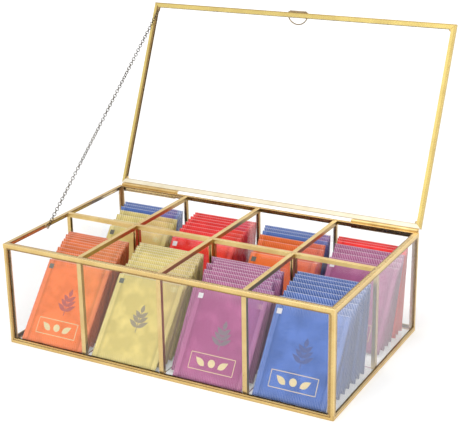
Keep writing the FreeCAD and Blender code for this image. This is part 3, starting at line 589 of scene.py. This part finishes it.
class Sheet:
    """One sachet as a puffed sheet of its own: its surface at any place across and up, on either side."""

    def __init__(self, packet, seed, crimped):
        rng = random.Random(seed)
        self.packet = packet
        self.crimped = crimped
        self.tone = rng.uniform(0.35, 0.65)
        self.phase = [rng.uniform(0, math.tau) for _ in range(8)]
        self.wave = rng.uniform(0.12, 0.3) * MM
        self.crease = rng.uniform(0.16, 0.30) * MM
        self.dent = [(rng.uniform(0.25, 0.75), rng.uniform(0.2, 0.75), rng.uniform(0.12, 0.25),
                      rng.uniform(-0.35, 0.2)) for _ in range(4)]

    def crimp(self, across, up):
        """How deep the hatching is: full on the crimped ends, slight on the side seals, none in the middle."""
        height, width = self.packet.height, self.packet.width
        end = min(up, height - up)
        side = min(across, width - across)
        at_end = 1 - smooth_step((end - END_SEAL) / CRIMP_FADE + 0.5)
        at_side = SIDE_CRIMP * (1 - smooth_step((side - SIDE_SEAL) / CRIMP_FADE + 0.5))
        return self.crimped * max(at_end, at_side)

    def half_thickness(self, across, up, side):
        """From the sheet's middle plane to its surface."""
        height, width = self.packet.height, self.packet.width
        inner = min(across, width - across) - SIDE_SEAL
        low, high = up - END_SEAL, height - END_SEAL - up
        fill = smooth_step(inner / SIDE_SLOPE)
        fill *= smooth_step(low / END_SLOPE) * smooth_step(high / TOP_SLOPE)
        thick = SEAM + PUFF * fill
        rows = math.sin(up / ROW_WAVES[0] + self.phase[0] + side)
        rows += ROW_SHORT * math.sin(up / ROW_WAVES[1] + self.phase[1])
        near = band(inner, *ROW_BAND)
        near *= smooth_step(low / ROW_FOOT) * smooth_step(high / ROW_HEAD)
        thick += self.crease * near * rows * CREASE_SHARE
        columns = math.sin(across / COLUMN_WAVES[0] + self.phase[2] + 2 * side)
        columns += COLUMN_SHORT * math.sin(across / COLUMN_WAVES[1] + self.phase[3])
        near = band(low, *FOOT_BAND)
        near += band(high, *HEAD_BAND)
        thick += self.crease * near * columns * CREASE_SHARE * smooth_step(inner / COLUMN_SIDE)
        for x, y, reach, depth in self.dent:
            gap = math.hypot(across / width - x, (up / height - y)) / reach
            thick += depth * MM * math.exp(-gap * gap * 2) * fill
        return max(SEAM, thick)

    def bend(self, across, up):
        """How far the whole sheet is out of its plane."""
        share = up / self.packet.height
        bow = math.sin(across / self.packet.width * math.pi * BOW_HALF_WAVES + self.phase[4])
        return self.wave * share * share * bow

    def at(self, across, up, side, lift=0.0):
        """The point on the front (side 1) or the back (side -1)."""
        out = self.bend(across, up) + side * (self.half_thickness(across, up, side) + lift)
        return self.packet.at(across, up, out)


class Shell:
    """Collects a stack's surfaces in one mesh: points, faces, each face's material, each point's values."""

    def __init__(self):
        self.points, self.faces, self.finish = [], [], []
        self.tone, self.crimp, self.sheet = [], [], []
        self.materials = []

    def slot(self, material):
        """The material's place in the mesh's list."""
        if material not in self.materials:
            self.materials.append(material)
        return self.materials.index(material)

    def point(self, sheet, across, up, side, lift=0.0):
        """Adds a point on a sheet's surface and gives its number."""
        self.points.append(sheet.at(across, up, side, lift))
        self.tone.append(sheet.tone)
        self.crimp.append(sheet.crimp(across, up))
        self.sheet.append((across, up * side, 0))
        return len(self.points) - 1

    def grid(self, rows, material, flip=False):
        """Faces between neighbouring rows of points."""
        slot = self.slot(material)
        for low, high in zip(rows, rows[1:]):
            for first, second, third, fourth in zip(low, low[1:], high[1:], high):
                self.faces.append((first, fourth, third, second) if flip else (first, second, third, fourth))
                self.finish.append(slot)

    def ribbon(self, sheet, line, widths, material, side=1):
        """A printed band along a line of (across, up) places, as wide at each as its half width says."""
        rows = []
        for index, ((x, y), half) in enumerate(zip(line, widths)):
            before, after = line[max(index - 1, 0)], line[min(index + 1, len(line) - 1)]
            run = Vector((after[0] - before[0], after[1] - before[1])).normalized()
            rows.append([self.point(sheet, x + run.y * half * step, y - run.x * half * step, side, LIFT)
                         for step in (-1, 0, 1)])
        self.grid(rows, material, side < 0)

    def made(self, name):
        """The object, whose points carry their tone, their crimp's depth and their place on their sheet."""
        thing = mesh_object(name, self.points, self.faces, self.materials, self.finish)
        for label, kind, values in (("tone", "FLOAT", self.tone), ("crimp", "FLOAT", self.crimp),
                                    ("sheet", "FLOAT_VECTOR", self.sheet)):
            layer = thing.data.attributes.new(label, kind, "POINT")
            flat = [value for vector in values for value in vector] if kind == "FLOAT_VECTOR" else values
            layer.data.foreach_set("vector" if kind == "FLOAT_VECTOR" else "value", flat)
        return thing


def spread(seal, length, count):
    """Places along a length, with one in the middle of the seal at each end."""
    return [0.0, seal * 0.5] + steps(seal, length - seal, count) + [length - seal * 0.5, length]


def add_foil(shell, sheet, material, fine):
    """Both faces of a sachet, sewn together round its edge."""
    across_count, up_count = FINE_GRID if fine else PLAIN_GRID
    across = spread(SIDE_SEAL, sheet.packet.width, across_count)
    up = spread(END_SEAL, sheet.packet.height, up_count)
    fronts = [[shell.point(sheet, x, y, 1) for x in across] for y in up]
    backs = [[shell.point(sheet, x, y, -1) for x in across] for y in up]
    shell.grid(fronts, material)
    shell.grid(backs, material, True)
    shell.grid([backs[0], fronts[0]], material)
    shell.grid([fronts[-1], backs[-1]], material)
    shell.grid([[row[0] for row in fronts], [row[0] for row in backs]], material, True)
    shell.grid([[row[-1] for row in fronts], [row[-1] for row in backs]], material)


# ---- what is printed on them ----

# the power that puts a leaf's widest place a little nearer its root than its tip
LEAF_POWER = 0.8
# how many steps each print's line has, and a rectangle's long and short sides
LEAF_STEPS, STEM_STEPS, DISC_STEPS, TAG_STEPS = 7, 8, 10, 3
LONG_STEPS, SHORT_STEPS = 12, 6
# the sprig: its stem below and above its centre, half the stem's width, and where on the stem its leaves root
STEM_BELOW, STEM_ABOVE, STEM_HALF, LEAF_ROOTS = 12 * MM, 6 * MM, 0.4 * MM, (2, 4, 6)
# its leaves: the lowest pair's turn from upright and length, what each higher pair has less, and the rest
LEAF_TURN, LEAF_TURN_LESS, LEAF_LENGTH, LEAF_LENGTH_LESS = 0.98, 0.1, 11.5, 1.3
TOP_LEAF, LEAF_WIDTH = 8 * MM, 4.0 * MM
# the sprig's centre, as shares of a sachet's width and height
SPRIG_ACROSS, SPRIG_UP = 0.54, 0.52
# the panel: how far in from the sides, its bottom and top edge, and half the width of its line
PANEL_IN, PANEL_LOW, PANEL_HIGH, PANEL_LINE = 12 * MM, 10 * MM, 24 * MM, 0.3 * MM
# in the panel: the disc's radius, and where its leaves root, how they turn, and how long and wide they are
DISC_RADIUS, ROOT_OUT, ROOT_DOWN = 3.4 * MM, 6.5 * MM, 3.2 * MM
PANEL_LEAF_TURN, PANEL_LEAF_LENGTH, PANEL_LEAF_WIDTH = 0.95, 11 * MM, 5.4 * MM
# the tag: from where to where across, how far below the top, and half its height
TAG_LEFT, TAG_RIGHT, TAG_BELOW, TAG_HALF = 2.2 * MM, 6.8 * MM, 6.5 * MM, 2.3 * MM


def leaf(shell, sheet, root, turn, length, width, material):
    """A printed leaf from its root."""
    direction = Vector((math.cos(turn), math.sin(turn)))
    shares = steps(0, 1, LEAF_STEPS)
    line = [(root[0] + direction.x * length * share, root[1] + direction.y * length * share)
            for share in shares]
    halves = [width / 2 * math.sin(math.pi * share ** LEAF_POWER) for share in shares]
    shell.ribbon(sheet, line, halves, material)


def sprig(shell, sheet, centre, material):
    """An upright sprig: a stem with three pairs of leaves and one at its top."""
    stem = [(centre[0], y) for y in steps(centre[1] - STEM_BELOW, centre[1] + STEM_ABOVE, STEM_STEPS)]
    shell.ribbon(sheet, stem, [STEM_HALF] * len(stem), material)
    for number, place in enumerate(LEAF_ROOTS):
        turn, length = LEAF_TURN - number * LEAF_TURN_LESS, (LEAF_LENGTH - LEAF_LENGTH_LESS * number) * MM
        for side in (-1, 1):
            leaf(shell, sheet, stem[place], math.pi / 2 - side * turn, length, LEAF_WIDTH, material)
    leaf(shell, sheet, stem[-1], math.pi / 2, TOP_LEAF, LEAF_WIDTH, material)


def frame_line(shell, sheet, left, low, right, high, half, material):
    """A printed outline of a rectangle."""
    for start, end in (((left, low), (right, low)), ((right, low), (right, high)),
                       ((right, high), (left, high)), ((left, high), (left, low))):
        count = LONG_STEPS if start[1] == end[1] else SHORT_STEPS
        line = list(zip(steps(start[0], end[0], count), steps(start[1], end[1], count)))
        shell.ribbon(sheet, line, [half] * len(line), material)


def disc(shell, sheet, centre, radius, material):
    """A printed disc."""
    turns = steps(-math.pi / 2, math.pi / 2, DISC_STEPS)
    line = [(centre[0], centre[1] + radius * math.sin(turn)) for turn in turns]
    shell.ribbon(sheet, line, [radius * math.cos(turn) for turn in turns], material)


def add_print(shell, sheet, colour, tagged):
    """The prints on a sachet's front: a sprig, a panel with a disc between two leaves, and maybe a tag."""
    width, height = sheet.packet.width, sheet.packet.height
    if tagged:
        tag = TAG_DARK if colour in DARK_TAGS else TAG_LIGHT
        line = [(x, height - TAG_BELOW) for x in steps(TAG_LEFT, TAG_RIGHT, TAG_STEPS)]
        shell.ribbon(sheet, line, [TAG_HALF] * len(line), tag)
    sprig(shell, sheet, (width * SPRIG_ACROSS, height * SPRIG_UP), INK_DARK[colour])
    if colour == "yellow":
        return
    middle, centre = (PANEL_LOW + PANEL_HIGH) / 2, width / 2
    frame_line(shell, sheet, PANEL_IN, PANEL_LOW, width - PANEL_IN, PANEL_HIGH, PANEL_LINE, INK_CREAM)
    disc(shell, sheet, (centre, middle), DISC_RADIUS, INK_CREAM)
    for side in (-1, 1):
        root = (centre + side * ROOT_OUT, middle - ROOT_DOWN)
        turn = math.pi / 2 - side * PANEL_LEAF_TURN
        leaf(shell, sheet, root, turn, PANEL_LEAF_LENGTH, PANEL_LEAF_WIDTH, INK_CREAM)


def add_fin(shell, sheet, material):
    """The folded seam down the middle of the back."""
    middle, height = sheet.packet.width / 2, sheet.packet.height
    line = [(middle, y) for y in steps(FIN_SHORT, height - FIN_SHORT, FIN_STEPS)]
    shell.ribbon(sheet, line, [FIN_HALF] * len(line), material, -1)


def dress_stack(number, name, colours):
    """A stack's sachets in place of its plain packets."""
    source = f"sachets_{name}"
    packets = [Packet(points) for points in islands(nodes[source].data)]
    packets.sort(key=lambda packet: packet.corner.y)
    order = [colour for colour, count in colours for _ in range(count)]
    shell = Shell()
    for index, (packet, colour) in enumerate(zip(packets, order)):
        leads = index == 0 or order[index - 1] != colour
        sheet = Sheet(packet, 100 * number + index, LEADING_CRIMP if leads else 1.0)
        add_foil(shell, sheet, FOILS[colour], leads)
        add_print(shell, sheet, colour, leads)
        add_fin(shell, sheet, FOILS[colour])
    thing = shell.made(f"printed_{source}")
    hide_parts(source)
    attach(thing, f"stack_{name}")


# ---- seams and solder ----

# how long a seam's steps are, and its sides; a solder lump's sides and rings
SEAM_STEP, SEAM_SIDES = 5 * MM, 4
LUMP_SIDES, LUMP_RINGS = 14, 4


class Beads:
    """Collects the seams and solder lumps of one body in one mesh."""

    def __init__(self):
        self.points, self.faces = [], []

    def seam(self, start, end, out, rise, thick, tall, seed):
        """A thin fillet from start to end, with its back to a pane and its foot on another."""
        rng = random.Random(seed)
        count = max(2, round((end - start).length / SEAM_STEP))
        rows = []
        for index in range(count + 1):
            place = start.lerp(end, index / count)
            reach, height = thick * rng.uniform(0.7, 1.0), tall * rng.uniform(0.85, 1.0)
            rows.append([len(self.points) + step for step in range(SEAM_SIDES + 1)])
            for turn in steps(0, math.pi / 2, SEAM_SIDES):
                self.points.append(place + out * reach * math.cos(turn) + rise * height * math.sin(turn))
        for low, high in zip(rows, rows[1:]):
            for first, second, third, fourth in zip(low, low[1:], high[1:], high):
                self.faces.append((first, fourth, third, second))
        self.faces += [tuple(rows[0]), tuple(reversed(rows[-1]))]

    def lump(self, centre, out, radius, height, seed):
        """A low, slightly uneven dome of solder."""
        rng = random.Random(seed)
        first = out.orthogonal().normalized()
        second = out.cross(first)
        swell = [rng.uniform(0.8, 1.15) for _ in range(LUMP_SIDES)]
        base = len(self.points)
        for ring in range(LUMP_RINGS):
            turn = math.pi / 2 * ring / LUMP_RINGS
            for side in range(LUMP_SIDES):
                angle = math.tau * side / LUMP_SIDES
                reach = radius * math.cos(turn) * (1 + (swell[side] - 1) * math.cos(turn))
                flat = first * math.cos(angle) + second * math.sin(angle)
                self.points.append(centre + flat * reach + out * height * math.sin(turn))
        self.points.append(centre + out * height)
        for ring in range(LUMP_RINGS - 1):
            start = base + ring * LUMP_SIDES
            for side in range(LUMP_SIDES):
                low, low_next = start + side, start + (side + 1) % LUMP_SIDES
                self.faces.append((low, low_next, low_next + LUMP_SIDES, low + LUMP_SIDES))
        last = base + (LUMP_RINGS - 1) * LUMP_SIDES
        for side in range(LUMP_SIDES):
            self.faces.append((last + side, last + (side + 1) % LUMP_SIDES, len(self.points) - 1))

    def made(self, name, material, body):
        """Makes the mesh and lets it ride the body."""
        thing = mesh_object(name, self.points, self.faces, [material])
        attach(thing, body)


UP = Vector((0, 0, 1))
ACROSS = Vector((1, 0, 0))
BACK = Vector((0, 1, 0))
# the inner faces of the panes, the top of the floor pane, and what the posts take of a wall
WALL_X, WALL_Y, FLOOR_Z = 157.1 * MM, 91.1 * MM, 2.9 * MM
CORNER_GAP, POST_GAP = 3.6 * MM, 2.4 * MM
SEAM_THICK, SEAM_TALL = 0.34 * MM, 2.1 * MM
COLUMN = 80 * MM
# the first seed of each row of seams and of solder lumps
LONG_SEED, END_SEED = 40, 50
CROSSING_SEED, STRIP_SEED, SIDE_SEED, EYE_SEED, LID_SEED = 60, 70, 80, 90, 100
# solder lumps, (radius, height): at the crossings, where a strip ends on a rail, at the eye, and in the lid
CROSSING, STRIP_END, AT_EYE = (2.5 * MM, 0.45 * MM), (1.5 * MM, 0.3 * MM), (1.3 * MM, 0.7 * MM)
LID_CORNER = (1.7 * MM, 0.75 * MM)
# where the strips end on the front and back rails and on the side rails, and the shut lid's corners inside
RAIL_Y, RAIL_X = 89 * MM, 155 * MM
LID_CORNER_AT = (154.8 * MM, 88.8 * MM, 97.35 * MM)
# how far the lumps sink into the rails' tops, and how far below its top the eye is soldered
SOLDER_SINK, EYE_DOWN = 0.1 * MM, 0.6 * MM


def floor_seams():
    """The dark seam of patina and painted shade where the floor pane meets each wall, between the posts."""
    beads = Beads()
    ends = [-WALL_X + CORNER_GAP]
    for number in (-1, 0, 1):
        ends += [number * COLUMN - POST_GAP, number * COLUMN + POST_GAP]
    ends.append(WALL_X - CORNER_GAP)
    halves = ((-WALL_Y + CORNER_GAP, -POST_GAP), (POST_GAP, WALL_Y - CORNER_GAP))
    for side in (-1, 1):
        for number, (start, end) in enumerate(zip(ends[::2], ends[1::2])):
            low = Vector((start, side * WALL_Y, FLOOR_Z))
            high = low + ACROSS * (end - start)
            beads.seam(low, high, -side * BACK, UP, SEAM_THICK, SEAM_TALL, LONG_SEED + number)
        for number, (start, end) in enumerate(halves):
            low = Vector((side * WALL_X, start, FLOOR_Z))
            high = low + BACK * (end - start)
            beads.seam(low, high, -side * ACROSS, UP, SEAM_THICK, SEAM_TALL, END_SEED + number)
    beads.made("floor_seams", SEAM_PATINA_AND_SHADE, "box")


def opened(x, y, z):
    """Where a point of the shut lid is on the lid as it is modelled."""
    gap = Vector((x, y, z)) - Vector(HINGE_LINE)
    return Vector(HINGE_LINE) + Matrix.Rotation(-LID_OPEN, 3, "X") @ gap


def solder():
    """Solder where strips cross or end, and at the chain's eye."""
    box_lumps, lid_lumps = Beads(), Beads()
    top = BOX_HIGH[2] - SOLDER_SINK
    for number in (-1, 0, 1):
        box_lumps.lump(Vector((number * COLUMN, 0, top)), UP, *CROSSING, CROSSING_SEED + number)
        for side in (-1, 1):
            place = Vector((number * COLUMN, side * RAIL_Y, top))
            box_lumps.lump(place, UP, *STRIP_END, STRIP_SEED + 3 * number + side)
    for side in (-1, 1):
        box_lumps.lump(Vector((side * RAIL_X, 0, top)), UP, *STRIP_END, SIDE_SEED + side)
    low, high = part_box("chain_eye_base")
    place = Vector((low[0], (low[1] + high[1]) / 2, high[2] - EYE_DOWN))
    box_lumps.lump(place, ACROSS, *AT_EYE, EYE_SEED)
    box_lumps.made("box_solder", SOLDER, "box")
    inward = opened(0, 0, 0) - opened(0, 0, 1)
    corner_x, corner_y, corner_z = LID_CORNER_AT
    for side in (-1, 1):
        for end in (-1, 1):
            place = opened(side * corner_x, end * corner_y, corner_z)
            lid_lumps.lump(place, inward.normalized(), *LID_CORNER, LID_SEED + 2 * side + end)
    lid_lumps.made("lid_solder", SOLDER, "lid")


dress_nodes()
floor_seams()
solder()
for stack_number, (stack_name, stack_colours) in enumerate(STACKS):
    dress_stack(stack_number, stack_name, stack_colours)


# ---- camera, floor and light ----

# where the camera stands round its target
AZIMUTH, ELEVATION, ROLL = math.radians(28.753), math.radians(19.405), math.radians(-0.937)
DISTANCE = 1.00802
TARGET = Vector((0.018219, 0, 0.122923))
# its focal length in pixels for a frame of this width, and its sensor's width in mm
FOCAL_PIXELS, FRAME_WIDTH, SENSOR = 1151.6, 459, 36.0


def camera():
    """The camera, turned about its own line of sight by the roll."""
    back = Vector((math.sin(AZIMUTH) * math.cos(ELEVATION), -math.cos(AZIMUTH) * math.cos(ELEVATION),
                   math.sin(ELEVATION)))
    right = Vector((0, 0, 1)).cross(back).normalized()
    up = back.cross(right)
    rolled_right = right * math.cos(ROLL) + up * math.sin(ROLL)
    rolled_up = up * math.cos(ROLL) - right * math.sin(ROLL)
    data = bpy.data.cameras.new("camera")
    data.sensor_fit = "HORIZONTAL"
    data.sensor_width = SENSOR
    data.lens = FOCAL_PIXELS * SENSOR / FRAME_WIDTH
    made = bpy.data.objects.new("camera", data)
    place = TARGET + back * DISTANCE
    rows = [(rolled_right[i], rolled_up[i], back[i], place[i]) for i in range(3)]
    made.matrix_world = Matrix(rows + [(0, 0, 0, 1)])
    bpy.context.scene.collection.objects.link(made)
    bpy.context.scene.camera = made


# what the lamps are aimed at, and each lamp's name, place, size and power in watts
LIT = Vector((0, 0, 0.08))
LAMPS = (
    ("overhead", (0.0, -0.35, 2.2), 2.0, 21),
    ("front", (0.2, -2.0, 1.25), 1.4, 6),
    ("side", (1.6, -1.5, 1.3), 1.0, 8),
)


def area_light(name, place, size, power):
    """A soft square lamp aimed at the box."""
    data = bpy.data.lights.new(name, "AREA")
    data.size = size
    data.energy = power
    made = bpy.data.objects.new(name, data)
    made.location = place
    made.rotation_euler = (LIT - Vector(place)).to_track_quat("-Z", "Y").to_euler()
    bpy.context.scene.collection.objects.link(made)


# the floor's half width and its white, and how much white it adds for the eye, near the box and far from it
FLOOR_HALF, FLOOR_WHITE = 4.0, 0.86
FLOOR_GLOW_NEAR, FLOOR_GLOW_FAR = 0.22, 0.55
# how far from the box's centre that is
GLOW_NEAR, GLOW_FAR = 0.3, 1.8
# how strong the white all round is as a light
WORLD_LIGHT = 0.63


def floor():
    """A white floor that keeps the box's shadow."""
    corners = [(x * FLOOR_HALF, y * FLOOR_HALF, 0) for x, y in ((-1, -1), (1, -1), (1, 1), (-1, 1))]
    plane = mesh_object("floor", corners, [(0, 1, 2, 3)], [])
    material, graph, shader = new_material("floor_white")
    set_inputs(shader, Base_Color=(FLOOR_WHITE, FLOOR_WHITE, FLOOR_WHITE, 1), Roughness=1.0,
               Specular_IOR_Level=0.0, Emission_Color=(1, 1, 1, 1))
    away = graph.add("ShaderNodeVectorMath", operation="LENGTH")
    graph.links.new(graph.add("ShaderNodeTexCoord").outputs["Object"], away.inputs[0])
    glow = graph.ranged(away.outputs["Value"], FLOOR_GLOW_NEAR, FLOOR_GLOW_FAR, GLOW_NEAR, GLOW_FAR)
    graph.links.new(graph.calculated("MULTIPLY", graph.seen(), glow), shader.inputs["Emission Strength"])
    plane.data.materials.append(material)


def world():
    """White all round for the eye and for reflections, and a soft even light."""
    made = bpy.data.worlds.new("studio")
    bpy.context.scene.world = made
    made.use_nodes = True
    graph = Graph(made.node_tree)
    background = graph.nodes["Background"]
    set_inputs(background, Color=(1, 1, 1, 1))
    graph.links.new(graph.ranged(graph.seen(), WORLD_LIGHT, 1.0), background.inputs["Strength"])


camera()
floor()
world()
for lamp in LAMPS:
    area_light(*lamp)
bpy.context.scene.view_settings.view_transform = "Standard"
